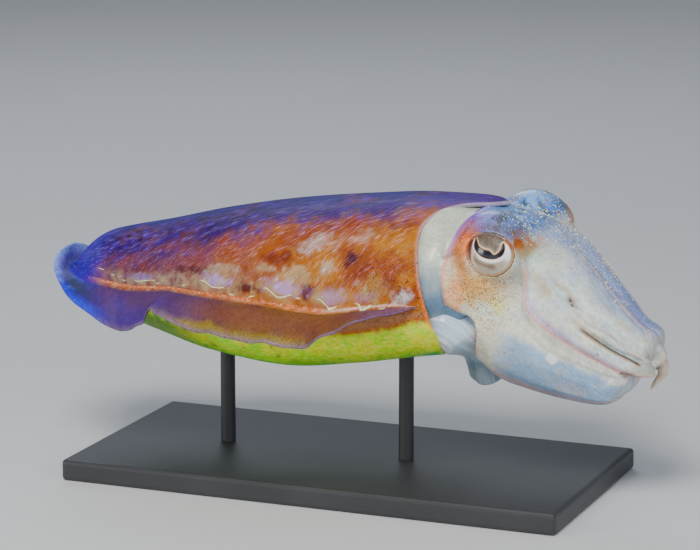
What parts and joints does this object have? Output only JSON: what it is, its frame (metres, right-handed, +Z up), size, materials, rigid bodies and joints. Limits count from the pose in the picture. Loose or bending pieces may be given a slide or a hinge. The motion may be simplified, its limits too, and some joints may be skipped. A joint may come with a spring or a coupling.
{
  "type": "common cuttlefish",
  "caption": "Life-size cuttlefish museum model in a level swimming pose, arms closed and pointing down, held over a plain flat base by two short rods.",
  "frame": {"origin": "centre of the underside of the stand's base", "axes": "+X towards the head and arms, +Y towards the animal's left side, +Z up; the base's underside faces -Z"},
  "size_m": [0.2993, 0.132, 0.1365],
  "materials": {
    "mantle_skin": "wet skin, rust orange and brown with a violet back and a yellow-green belly",
    "fin_skin": "wet skin, thin, brown at the root and violet-blue at the edge",
    "pale_skin": "wet skin, pale grey",
    "head_skin": "wet skin, grey-cream with orange round the eye and a blue-violet brow",
    "arm_skin": "wet skin, grey-cream with fine pale specks",
    "eye": "polished, with a black W-shaped pupil",
    "stand": "satin black"
  },
  "bodies": {
    "root": {"mantle": "mantle_skin", "neck": "pale_skin", "head": "head_skin", "funnel": "pale_skin", "eye_left": "eye", "eye_right": "eye", "fin_left": "fin_skin", "fin_right": "fin_skin", "arm_1_left": "arm_skin", "arm_1_right": "arm_skin", "arm_2_left": "arm_skin", "arm_2_right": "arm_skin", "arm_3_left": "arm_skin", "arm_3_right": "arm_skin", "arm_4_left": "arm_skin", "arm_4_right": "arm_skin", "stand_base": "stand", "stand_rod_front": "stand", "stand_rod_rear": "stand"}
  },
  "joints": []
}
